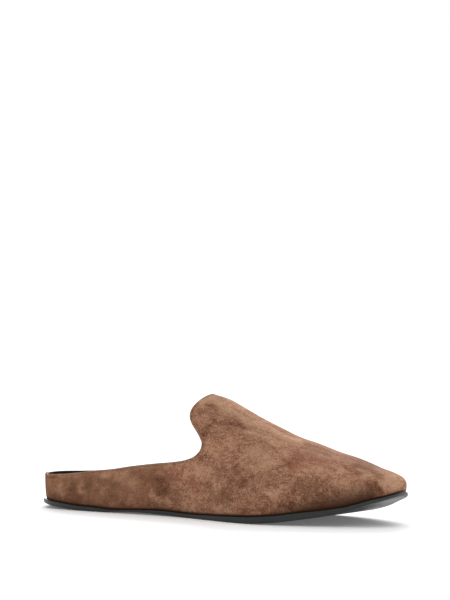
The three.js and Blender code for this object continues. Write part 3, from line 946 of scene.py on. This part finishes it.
@dataclass(frozen=True)
class GrainedLeather:
    """Dyed leather with a natural grain, for a lining, a footbed or a sole."""

    name: str
    colour: str
    worn: str
    roughness: float
    grain_mm: float
    depth_mm: float
    gloss: float
    # Wear shows as clouds, in which the colour turns to the worn one and the surface is smoother or rougher.
    cloud_mm: float = 14.0
    cloud_detail: float = 4.0
    cloud_roughness: float = 0.6
    cloud_stops: tuple[float, float] = (0.35, 0.75)
    cloud_range: tuple[float, float] = (0.3, 0.7)
    smoother: float = 0.06
    rougher: float = 0.08
    grain_strength: float = 0.5

    def build(self) -> bpy.types.Material:
        """Makes the material.

        Returns:
            The material.
        """
        material, tree, shader = new_material(self.name)
        place = add_node(tree, "ShaderNodeTexCoord").outputs["Object"]
        grain = add_node(tree, "ShaderNodeTexVoronoi", {
            "Vector": place, "Scale": 1 / (self.grain_mm * MM), "Randomness": 1.0}, feature="SMOOTH_F1")
        cloud = add_node(tree, "ShaderNodeTexNoise", {
            "Vector": place, "Scale": 1 / (self.cloud_mm * MM), "Detail": self.cloud_detail,
            "Roughness": self.cloud_roughness}).outputs["Fac"]
        ramp = add_node(tree, "ShaderNodeValToRGB", {"Fac": cloud})
        stops = ramp.color_ramp.elements
        stops[0].position, stops[1].position = self.cloud_stops
        stops[0].color, stops[1].color = linear(self.colour), linear(self.worn)
        rough = add_node(tree, "ShaderNodeMapRange", {
            "Value": cloud, "From Min": self.cloud_range[0], "From Max": self.cloud_range[1],
            "To Min": self.roughness - self.smoother, "To Max": self.roughness + self.rougher})
        bump = add_node(tree, "ShaderNodeBump", {
            "Height": grain.outputs["Distance"], "Strength": self.grain_strength, "Distance": self.depth_mm * MM})
        feed(tree, shader, {
            "Base Color": ramp.outputs["Color"], "Roughness": rough.outputs["Result"],
            "Normal": bump.outputs["Normal"], "Specular IOR Level": self.gloss})
        return material


# Glazed kid lining: thin, dyed near black, softly shining where the foot rubs it.
LINING_KID = GrainedLeather("dyed_kid_lining", "261B17", "352621", 0.6, 0.7, 0.05, 0.35)
# Sheepskin footbed cover: dyed near black, finer and more matt than the sole.
FOOTBED_SHEEPSKIN = GrainedLeather("dyed_sheepskin_footbed", "1B1614", "2A2320", 0.62, 0.9, 0.06, 0.35)
# Pressed sole leather: dyed and waxed, with a tight grain and a soft shine on its edge.
SOLE_LEATHER = GrainedLeather("waxed_sole_leather", "242726", "2E3231", 0.4, 0.5, 0.03, 0.32)


@dataclass
class Creases:
    """Soft troughs and ridges worked into the suede, given in the shoe's own sizes."""

    # Two ends (x, y, z), radius and height in millimetres: below zero for a trough.
    marks: tuple[tuple[Point, Point, float, float], ...] = (
        ((2, 0, 8), (2, 0, 24), 0.6, -0.3),
        ((152, -30, 56), (176, -19, 62), 5.0, -0.5),
        ((156, -6, 76), (214, -3, 52), 8.0, 0.35),
        ((168, -43, 24), (205, -43, 34), 6.0, -0.45),
        ((93, -32, 31), (120, -33, 16), 5.0, -0.5),
        ((108, -33, 9), (124, -34, 11), 3.5, 0.3),
        ((60, -33, 16), (96, -33, 20), 6.0, 0.25),
        ((246, -30, 34), (262, -24, 30), 5.0, -0.3),
    )

    def height(self, points: np.ndarray) -> np.ndarray:
        """How far each point stands proud.

        Args:
            points: Points of the outer surface.

        Returns:
            The heights.
        """
        total = np.zeros(len(points))
        for start, end, radius, height in self.marks:
            total += height * falloff(points, start, end, radius)
        return total


@dataclass
class NapMarks:
    """The light, dark, warm and olive patches of the nap, with painted highlights and painted shade among them. Pairs
    are where a change starts and ends.
    """

    last: Last
    # The edges of the marks wander: axis moved, waves along x, y and z, height and phase.
    wander_mm: float = 1.3
    wander: tuple[tuple[int, Point, float, float], ...] = (
        (0, (0.0, 0.23, 0.61), 1.0, 0.0),
        (0, (0.31, 0.0, 1.37), 0.6, 1.0),
        (1, (0.43, 0.0, 0.37), 1.0, 2.0),
        (2, (0.53, 0.29, 0.0), 1.0, 0.0),
        (2, (1.21, 0.0, 0.41), 0.6, 3.0),
    )
    # The folded rim gets a painted highlight, and the line where its turned edge ends underneath gets painted shade.
    fold_mm: float = 0.9
    fold_highlight: float = 0.4
    turned_edge_mm: float = 2.1
    turned_dark: float = 0.4
    turned_dark_mm: float = 0.6
    turned_shade: float = 0.28
    turned_shade_mm: float = 0.5
    turned_shade_x: tuple[float, float] = (60.0, 100.0)
    # The quarter is painted darker and the vamp lighter, as painted shade and painted light; the quarter is also more
    # olive than the vamp, and its nap is finer.
    quarter_painted_shade: float = -0.2
    quarter_tint: float = -0.28
    vamp_painted_light: float = 0.12
    vamp_x: tuple[float, float] = (110.0, 150.0)
    strongest: float = 0.8
    quarter_grain: float = 0.48
    vamp_grain: float = 0.98
    grain_x: tuple[float, float] = (95.0, 155.0)
    # Painted shade in the crease over the sole: strength and width, as a line and as a soft band.
    crease_line: tuple[float, float] = (0.92, 1.2)
    crease_band: tuple[float, float] = (0.3, 4.0)
    # Painted shade low on the outside of the toe, where its side turns under: strength, where along and across, and how
    # high it reaches.
    toe_painted_shade: float = 0.94
    toe_painted_shade_in_x: tuple[float, float] = (190.0, 250.0)
    toe_painted_shade_out_x: tuple[float, float] = (275.0, 283.0)
    toe_painted_shade_y: tuple[float, float] = (12.0, -2.0)
    toe_painted_shade_height: tuple[float, float] = (12.0, 17.5)
    toe_painted_shade_rise_x: tuple[float, float] = (225.0, 255.0)
    # The back seam's stretch, and how far from it the rest of the upper counts as lying.
    seam_x: tuple[float, float] = (6.0, 12.0)
    seam_clear: float = 9.0
    # Dark strokes on the toe's ridge, partly the suede's own darker patch and partly painted shade that takes the light
    # off the ridge, and painted shade on the heel's back edge: two ends, radius in millimetres and strength.
    painted_shade_strokes: tuple[tuple[Point, Point, float, float], ...] = (
        ((248, 7, 44), (263, 6, 40), 8.0, 0.34),
        ((258, -4, 40), (276, -6, 35), 3.6, 0.3),
        ((216, 1, 52), (236, 6, 47), 6.0, 0.12),
        ((9, -22, 10), (9, -22, 23), 4.0, 0.3),
        ((3, -12, 10), (3, -12, 23), 6.0, 0.5),
    )

    def shade(self, points: np.ndarray, rim_distance: np.ndarray) -> np.ndarray:
        """How much painted shade the suede gets: in the crease over the sole, low on the toe's outside, on the toe's
        ridge and the heel's back edge, and where the turned edge ends.

        Args:
            points: Points of the suede.
            rim_distance: How far each is from the rim.

        Returns:
            Shares of the painted shade.
        """
        x, y, z = points.T
        low = np.maximum(z - self.last.feather(x), 0)
        # Painted shade in the crease over the sole.
        (line, line_mm), (band, band_mm) = self.crease_line, self.crease_band
        crease = line * bell(low, line_mm) + band * np.exp(-low / band_mm)
        # Painted shade low on the toe's outside, where the side turns under.
        toe = smooth_step(x, *self.toe_painted_shade_in_x) * (1 - smooth_step(x, *self.toe_painted_shade_out_x)) * smooth_step(y, *self.toe_painted_shade_y)
        shallow, tall = self.toe_painted_shade_height
        reach = shallow + (tall - shallow) * smooth_step(x, *self.toe_painted_shade_rise_x)
        clear = (1 - np.clip(crease, 0, 1)) * (1 - self.toe_painted_shade * toe * (1 - smooth_step(low, 0, reach)))
        # Painted shade on the toe's ridge and the heel's back edge; on the ridge also the suede's own darker patch.
        for start, end, radius, strength in self.painted_shade_strokes:
            clear = clear * (1 - strength * falloff(points, start, end, radius))
        # Painted shade where the turned edge ends, towards the back.
        turned = bell(rim_distance - self.turned_edge_mm, self.turned_shade_mm)
        turned = turned * (1 - smooth_step(x, *self.turned_shade_x))
        return 1 - clear * (1 - self.turned_shade * turned)

    def values(self, points: np.ndarray, rim_distance: np.ndarray) -> dict[str, np.ndarray]:
        """The nap's lie at each point, with the painted light and shade.

        Args:
            points: Points of the suede.
            rim_distance: How far each is from the rim.

        Returns:
            Light or dark (with painted highlights and shade), warm or olive, painted shade, coarseness and millimetres
            from the back seam, by attribute.
        """
        x, y = points[:, 0], points[:, 1]
        wavy = points.copy()
        for axis, waves, height, phase in self.wander:
            wavy[:, axis] += self.wander_mm * height * np.sin(points @ np.array(waves) + phase)
        nap, tint = np.zeros(len(points)), np.zeros(len(points))
        # Some of these marks are painted highlights and painted shade.
        for start, end, radius, light, warm in NAP_MARKS_AND_PAINTED_LIGHT:
            weight = falloff(wavy, start, end, radius)
            nap += light * weight
            tint += warm * weight
        # Painted highlight on the folded rim, and painted shade where its turned edge ends.
        nap += self.fold_highlight * bell(rim_distance, self.fold_mm)
        nap -= self.turned_dark * bell(rim_distance - self.turned_edge_mm, self.turned_dark_mm)
        # Painted shade on the quarter and painted light on the vamp.
        quarter = 1 - smooth_step(x, *self.vamp_x)
        nap += self.vamp_painted_light + (self.quarter_painted_shade - self.vamp_painted_light) * quarter
        tint += self.quarter_tint * quarter
        nap = self.strongest * np.tanh(nap / self.strongest)
        grain = self.quarter_grain + (self.vamp_grain - self.quarter_grain) * smooth_step(x, *self.grain_x)
        seam = np.abs(y) + self.seam_clear * smooth_step(x, *self.seam_x)
        return {"nap": nap, "tint": tint, "shade": self.shade(points, rim_distance), "grain": grain, "seam": seam}


@dataclass
class Upper:
    """The hollow upper: a suede shell with a folded rim, and the lining inside it."""

    last: Last
    notch_place: float = 149.0
    tongue_reach: float = 17.4
    toe_side_angle: float = math.radians(38)
    quarter_stations: int = 120
    vamp_stations: int = 120
    wall_rows: int = 24
    tongue_rows: int = 34
    tongue_power: float = 1.4
    suede: float = 1.2
    lining_gap: float = 0.05
    rim_steps: int = 6
    lining_proud: float = 0.55
    # The outer quarter's suede rises over the lining from here back, and is level with the rest from there on.
    raised_rim: tuple[float, float] = (62.0, 92.0)
    raised_by: float = 0.9
    # Across the shoe, it does so more and more from here out to there.
    raised_side: tuple[float, float] = (2.0, -16.0)
    # How far the foot of a shell is tucked in below its edge, as a share of its thickness.
    tuck_share: float = 0.25
    # The suede stops this far above the outsole.
    foot_gap: float = 0.02

    def stations(self) -> tuple[np.ndarray, np.ndarray, np.ndarray]:
        """Stations along the upper from the heel to the toe.

        Returns:
            Their shares of the length, the angles where the wall rows end, and how far along the vamp they are.
        """
        last = self.last
        steps = np.arange(len(COLLAR)) / (len(COLLAR) - 1)
        collar_at = np.array([row[0] for row in COLLAR])
        place = SmoothColumn(steps, end_parameter(collar_at * self.notch_place / last.length))
        height = SmoothColumn(steps, np.array([row[1] * row[2] for row in COLLAR]))
        i = np.arange(self.quarter_stations) / self.quarter_stations
        quarter = share_of(place(i))
        quarter_top = last.angle_at(quarter, height(i))
        notch = self.notch_place / last.length
        along = np.sin(math.pi / 2 * np.arange(self.vamp_stations + 1) / self.vamp_stations)
        notch_angle = last.angle_at(np.array(notch), np.array(NOTCH_HEIGHT))
        vamp_top = notch_angle + (self.toe_side_angle - notch_angle) * along
        share = np.concatenate([quarter, notch + (1 - notch) * along])
        top = np.concatenate([quarter_top, vamp_top])
        return share, top, along

    def skin(self) -> tuple[Skin, np.ndarray, np.ndarray]:
        """The upper's outer surface.

        Returns:
            The skin, and the loops of indices round its rim and its feather edge.
        """
        share, top, along = self.stations()
        last = self.last
        back = SmoothColumn(np.array([row[0] for row in TONGUE]),
                            np.array([row[1] for row in TONGUE]) * self.tongue_reach)
        grids = []
        for side in Side:
            rows = np.arange(self.wall_rows + 1) / self.wall_rows
            angle = last.feather_angle + (top[:, None] - last.feather_angle) * rows[None, :]
            grids.append((last.surface(share[:, None], angle, side.value), side is Side.INNER))
            turn = (np.arange(self.tongue_rows + 1) / self.tongue_rows) ** self.tongue_power
            vamp_share, vamp_top = share[self.quarter_stations:], top[self.quarter_stations:]
            reach = back(turn)[None, :] / last.length * (1 - along[:, None]) ** 2
            angle = vamp_top[:, None] + (last.ridge_angle - vamp_top[:, None]) * turn[None, :]
            grids.append((last.surface(vamp_share[:, None] - reach, angle, side.value), side is Side.INNER))
        skin, (outer_wall, outer_tongue, inner_wall, inner_tongue) = Skin.from_grids(grids)
        quarter = self.quarter_stations
        rim = np.concatenate([outer_wall[:quarter, -1], outer_tongue[0], inner_tongue[0][::-1][1:],
                              inner_wall[1:quarter, -1][::-1]])
        feather = np.concatenate([outer_wall[:, 0], inner_wall[1:-1, 0][::-1]])
        return skin, rim, feather

    def rim_drop(self, rim: np.ndarray) -> np.ndarray:
        """How far the suede's rim lies below the lining's, which shows over it as a thin line.

        Args:
            rim: Points round the rim.

        Returns:
            The drop at each.
        """
        back = 1 - smooth_step(rim[:, 0], *self.raised_rim)
        return self.lining_proud - self.raised_by * back * smooth_step(rim[:, 1], *self.raised_side)

    @staticmethod
    def over_rim(skin: Skin, normals: np.ndarray, rim: np.ndarray, feather: np.ndarray) -> np.ndarray:
        """Directions that lead along the surface and out over its rim.

        Args:
            skin: The surface.
            normals: Its normals.
            rim: The loop of indices round the rim.
            feather: The loop of indices round the feather edge.

        Returns:
            A direction for each point of the rim.
        """
        edge = unit(np.roll(skin.points[rim], -1, axis=0) - np.roll(skin.points[rim], 1, axis=0))
        over = unit(np.cross(edge, normals[rim]))
        inside = skin.points[feather].mean(axis=0)
        return -over if ((skin.points[rim] - inside) * over).sum() < 0 else over

    def shell(self, depth: float, thickness: float, suede: bool, sink: float) -> tuple[Skin, np.ndarray]:
        """A closed shell under the outer surface, with a round rim.

        Args:
            depth: How far below the outer surface it starts.
            thickness: How thick it is.
            suede: Whether it is the suede, with its creases worked in and its rim below the lining's.
            sink: How far its foot goes below the feather edge.

        Returns:
            The skin, and each point's distance from the rim, which is nought on the rim's round and the foot.
        """
        skin, rim, feather = self.skin()
        normals = skin.normals()
        rim_distance = distance_to(skin.points, skin.points[rim])
        drop = np.zeros(len(rim))
        if suede:
            drop = self.rim_drop(skin.points[rim])
            skin.points = skin.points + normals * Creases().height(skin.points)[:, None]
        over = self.over_rim(skin, normals, rim, feather)
        radius = thickness / 2
        outer = skin.points - normals * depth
        inner = skin.points - normals * (depth + thickness)
        level = unit(normals[feather] * [1, 1, 0])

        def foot(inset: float, below: float) -> np.ndarray:
            """The loop round the shell's foot, moved in by the inset, at or below the feather edge."""
            loop = skin.points[feather] - level * inset
            loop[:, 2] = self.last.feather(loop[:, 0]) - below
            return loop

        for layer, inset in ((outer, depth), (inner, depth + thickness)):
            layer[rim] -= over * (radius + drop)[:, None]
            layer[feather] = foot(inset, 0.0)
        count = len(skin.points)
        faces = skin.faces
        built = Skin(np.concatenate([outer, inner]), np.concatenate([faces, faces[:, ::-1] + count]))
        middle = (outer[rim] + inner[rim]) / 2
        across = (outer[rim] - inner[rim]) / 2
        loops = [rim]
        for k in range(1, self.rim_steps):
            turn = math.pi * k / self.rim_steps
            loops.append(built.add(middle + across * math.cos(turn) + over * radius * math.sin(turn)))
        loops.append(rim + count)
        built.bands(loops[::-1])
        tucked = [feather]
        for inset in (depth + self.tuck_share * thickness, depth + thickness):
            tucked.append(built.add(foot(inset, sink)))
        tucked.append(feather + count)
        built.bands(tucked)
        distance = np.zeros(len(built.points))
        distance[:2 * count] = np.tile(rim_distance, 2)
        return built, distance

    def build(self, shift: np.ndarray) -> list[bpy.types.Object]:
        """Builds and dresses both shells.

        Args:
            shift: From the heel frame to the row frame.

        Returns:
            The pieces.
        """
        suede, rim_distance = self.shell(0.0, self.suede, True, self.last.clearance - self.foot_gap)
        piece = suede.to_object("suede_shell", shift)
        for name, values in NapMarks(self.last).values(suede.points, rim_distance).items():
            put_values(piece, name, values)
        piece.data.materials.append(NappedSuede().build())
        depth = self.suede + self.lining_gap
        lining, _ = self.shell(depth, self.last.wall - depth, False, 0.0)
        inside = lining.to_object("kid_lining", shift)
        inside.data.materials.append(LINING_KID.build())
        for part in (piece, inside):
            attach(part, "root")
            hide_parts("upper")
        return [piece, inside]


def raised(plan: np.ndarray, height: Height, rise: float = 0.0) -> np.ndarray:
    """Lifts points of a plan to a height that depends on x, and by a rise over it."""
    return np.concatenate([plan, (height(plan[..., 0]) + rise)[..., None]], -1)


@dataclass
class Plate:
    """A bent plate with the plan of the sole and one round edge."""

    last: Last
    offset: float
    edge_round: float
    edge: Edge
    stations: int = 160
    edge_steps: int = 8
    across_rows: int = 14
    arris: float = 0.25

    def face_rows(self, share: np.ndarray, side: int, height: Height, steps: np.ndarray) -> list[np.ndarray]:
        """Rows of a face from the middle line out to where its corner starts.

        Args:
            share: Shares of the length.
            side: Sign of Y.
            height: Height of the face at x.
            steps: Shares of the way out.

        Returns:
            A row of points for each step.
        """
        offset = self.offset - max(self.edge_round, self.arris)
        spine = self.last.middle_point(share, offset)
        flat = self.last.plan_point(share, side, offset)
        return [raised(spine + (flat - spine) * step, height) for step in steps]

    def corner_rows(self, share: np.ndarray, side: int, height: Height, rounding: float) -> list[np.ndarray]:
        """Rows round a corner from a face to the plate's edge.

        Args:
            share: Shares of the length.
            side: Sign of Y.
            height: Height of the face at x.
            rounding: Radius of the corner, below zero where the edge lies under the face.

        Returns:
            A row of points for each step of the turn.
        """
        rows = []
        for angle in np.linspace(0, math.pi / 2, self.edge_steps + 1):
            offset = self.offset - abs(rounding) * (1 - math.sin(angle))
            plan = self.last.plan_point(share, side, offset)
            rows.append(raised(plan, height, rounding * (1 - math.cos(angle))))
        return rows

    def skin(self, bottom: Height, top: Height) -> Skin:
        """The plate's skin.

        Args:
            bottom: Height of its underside at x.
            top: Height of its top at x.

        Returns:
            The skin.
        """
        share = share_of(np.arange(self.stations + 1) / self.stations)
        steps = np.arange(self.across_rows + 1) / self.across_rows
        low_round = self.edge_round if self.edge is Edge.BOTTOM else self.arris
        high_round = self.edge_round if self.edge is Edge.TOP else self.arris
        grids = []
        for side in Side:
            low = self.face_rows(share, side.value, bottom, steps)
            low += self.corner_rows(share, side.value, bottom, low_round)
            high = self.face_rows(share, side.value, top, steps)
            high += self.corner_rows(share, side.value, top, -high_round)
            grids.append((np.stack(low + high[::-1], 1), side is Side.INNER))
        return Skin.from_grids(grids)[0]


@dataclass
class Outsole:
    """The thin leather outsole with a toe spring and a low arch."""

    last: Last
    edge_round: float = 1.1

    def build(self, shift: np.ndarray) -> bpy.types.Object:
        """Builds and dresses the outsole.

        Args:
            shift: From the heel frame to the row frame.

        Returns:
            The piece.
        """
        plate = Plate(self.last, 0.0, self.edge_round, Edge.BOTTOM)
        piece = plate.skin(self.last.underside, self.last.sole_top).to_object("leather_outsole", shift)
        piece.data.materials.append(SOLE_LEATHER.build())
        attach(piece, "root")
        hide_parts("outsole")
        return piece


@dataclass
class Footbed:
    """The firm covered insole."""

    last: Last
    thickness: float = 3.0
    edge_round: float = 1.0

    def build(self, shift: np.ndarray) -> bpy.types.Object:
        """Builds and dresses the footbed.

        Args:
            shift: From the heel frame to the row frame.

        Returns:
            The piece.
        """
        last = self.last
        plate = Plate(last, -last.welt_margin - last.wall - last.clearance, self.edge_round, Edge.TOP)
        piece = plate.skin(last.feather, lambda x: last.feather(x) + self.thickness).to_object("footbed", shift)
        piece.data.materials.append(FOOTBED_SHEEPSKIN.build())
        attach(piece, "root")
        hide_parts("insole")
        return piece


@dataclass(frozen=True)
class Softbox:
    """A broad even light: where it comes from, how strong it is and how many degrees wide it looks."""

    name: str
    toward: Point
    strength: float
    spread: float

    def hang(self) -> None:
        """Adds the light to the scene."""
        light = bpy.data.lights.new(self.name, "SUN")
        light.energy = self.strength
        light.angle = math.radians(self.spread)
        lamp = bpy.data.objects.new(self.name, light)
        lamp.rotation_euler = Vector(self.toward).to_track_quat("Z", "Y").to_euler()
        bpy.context.scene.collection.objects.link(lamp)


@dataclass
class Studio:
    """The pale floor, the soft light and the camera of the photograph."""

    azimuth: float = 32.0
    elevation: float = 3.809
    roll: float = 0.519
    distance: float = 1.7
    pixels_per_mm: float = 1.41767
    target: Point = (0.0, -0.0006, 0.035)
    target_pixel: tuple[float, float] = (218.6, 465.0)
    frame: tuple[int, int] = (450, 600)
    sensor_mm: float = 36.0
    view_depth: float = 40.0
    floor_radius: float = 9.0
    floor_sides: int = 96
    # A twentieth of a millimetre, so that the sole and the floor never share a plane.
    floor_gap: float = 0.05 * MM
    table_white: float = 0.95
    table_glow: float = 0.11
    table_roughness: float = 0.9
    surround: float = 0.68
    softboxes: tuple[Softbox, ...] = (
        Softbox("key_light", (-0.54, 0.84, 0.46), 2.9, 34.0),
        Softbox("top_light", (-0.1, 0.25, 1.0), 0.6, 60.0),
    )

    def floor(self) -> None:
        """Lays the floor, white enough to vanish into the backdrop."""
        turns = np.arange(self.floor_sides) * 2 * math.pi / self.floor_sides
        ring = [(self.floor_radius * math.cos(turn), self.floor_radius * math.sin(turn), -self.floor_gap)
                for turn in turns]
        mesh = bpy.data.meshes.new("studio_floor")
        mesh.from_pydata(ring, [], [list(range(self.floor_sides))])
        floor = bpy.data.objects.new("studio_floor", mesh)
        bpy.context.scene.collection.objects.link(floor)
        # Opal acrylic of a packshot table, matt on top and lit from beneath, so that no shadow on it is black.
        material, tree, shader = new_material("lit_opal_acrylic_table")
        feed(tree, shader, {
            "Base Color": (self.table_white,) * 3 + (1.0,), "Emission Color": WHITE,
            "Emission Strength": self.table_glow, "Roughness": self.table_roughness, "Specular IOR Level": 0.0})
        mesh.materials.append(material)

    def light(self) -> None:
        """Sets the white surround and hangs the lights."""
        world = bpy.data.worlds.new("white_studio")
        world.use_nodes = True
        tree = world.node_tree
        background = tree.nodes["Background"]
        feed(tree, background, {"Color": WHITE, "Strength": self.surround})
        # The backdrop is pure white, but it is lit apart from the shoe and gives it less light than it shows.
        backdrop = add_node(tree, "ShaderNodeBackground", {"Color": WHITE, "Strength": 1.0})
        seen = add_node(tree, "ShaderNodeLightPath")
        chosen = add_node(tree, "ShaderNodeMixShader", {
            0: seen.outputs["Is Camera Ray"], 1: background.outputs[0], 2: backdrop.outputs[0]})
        feed(tree, tree.nodes["World Output"], {"Surface": chosen.outputs[0]})
        bpy.context.scene.world = world
        for softbox in self.softboxes:
            softbox.hang()
        bpy.context.scene.view_settings.view_transform = "Standard"

    def camera(self) -> None:
        """Places the camera so that the target falls on its pixel, turned rather than shifted."""
        azimuth, elevation, roll = (math.radians(v) for v in (self.azimuth, self.elevation, self.roll))
        back = Vector((math.sin(azimuth) * math.cos(elevation), -math.cos(azimuth) * math.cos(elevation),
                       math.sin(elevation)))
        right = (-back).cross(Vector((0, 0, 1))).normalized()
        up = right.cross(-back)
        rolled_right = right * math.cos(roll) + up * math.sin(roll)
        rolled_up = up * math.cos(roll) - right * math.sin(roll)
        straight = Matrix((rolled_right, rolled_up, back)).transposed()
        focal = self.pixels_per_mm * self.distance / MM
        wide, high = self.frame
        seen = Vector((self.target_pixel[0] - wide / 2, high / 2 - self.target_pixel[1], -focal))
        turn = seen.normalized().rotation_difference(Vector((0, 0, -1))).to_matrix()
        data = bpy.data.cameras.new("photo_camera")
        data.sensor_width = self.sensor_mm
        data.lens = self.sensor_mm * focal / high
        data.clip_end = self.view_depth
        camera = bpy.data.objects.new("photo_camera", data)
        place = Matrix.Translation(Vector(self.target) + back * self.distance)
        camera.matrix_world = place @ (straight @ turn).to_4x4()
        bpy.context.scene.collection.objects.link(camera)
        bpy.context.scene.camera = camera

    def build(self) -> None:
        """Sets up the studio."""
        self.floor()
        self.light()
        self.camera()


def row_shift(last: Last, samples: int = 2001) -> np.ndarray:
    """How far the row frame lies from the heel frame.

    Args:
        last: The form.
        samples: At how many places along the plan its width is looked at.

    Returns:
        The shift in millimetres.
    """
    low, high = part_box("outsole")
    share = share_of(np.linspace(0, 1, samples))
    middle, half = last.middle(share), last.half_width(share)
    plan_middle = ((middle - half).min() + (middle + half).max()) / 2
    return np.array([low[0] / MM, (low[1] + high[1]) / 2 / MM - plan_middle, 0.0])


def main() -> None:
    """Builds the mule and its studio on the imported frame."""
    logging.basicConfig(level=logging.INFO, format="%(name)s: %(message)s")
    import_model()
    Studio().build()
    last = Last()
    shift = row_shift(last)
    log.info("heel frame to row frame: %.3f %.3f %.3f mm", *shift)
    pieces = Upper(last).build(shift)
    pieces.append(Outsole(last).build(shift))
    pieces.append(Footbed(last).build(shift))
    for piece in pieces:
        log.info("%s: %d faces", piece.name, len(piece.data.polygons))


if __name__ == "__main__":
    main()
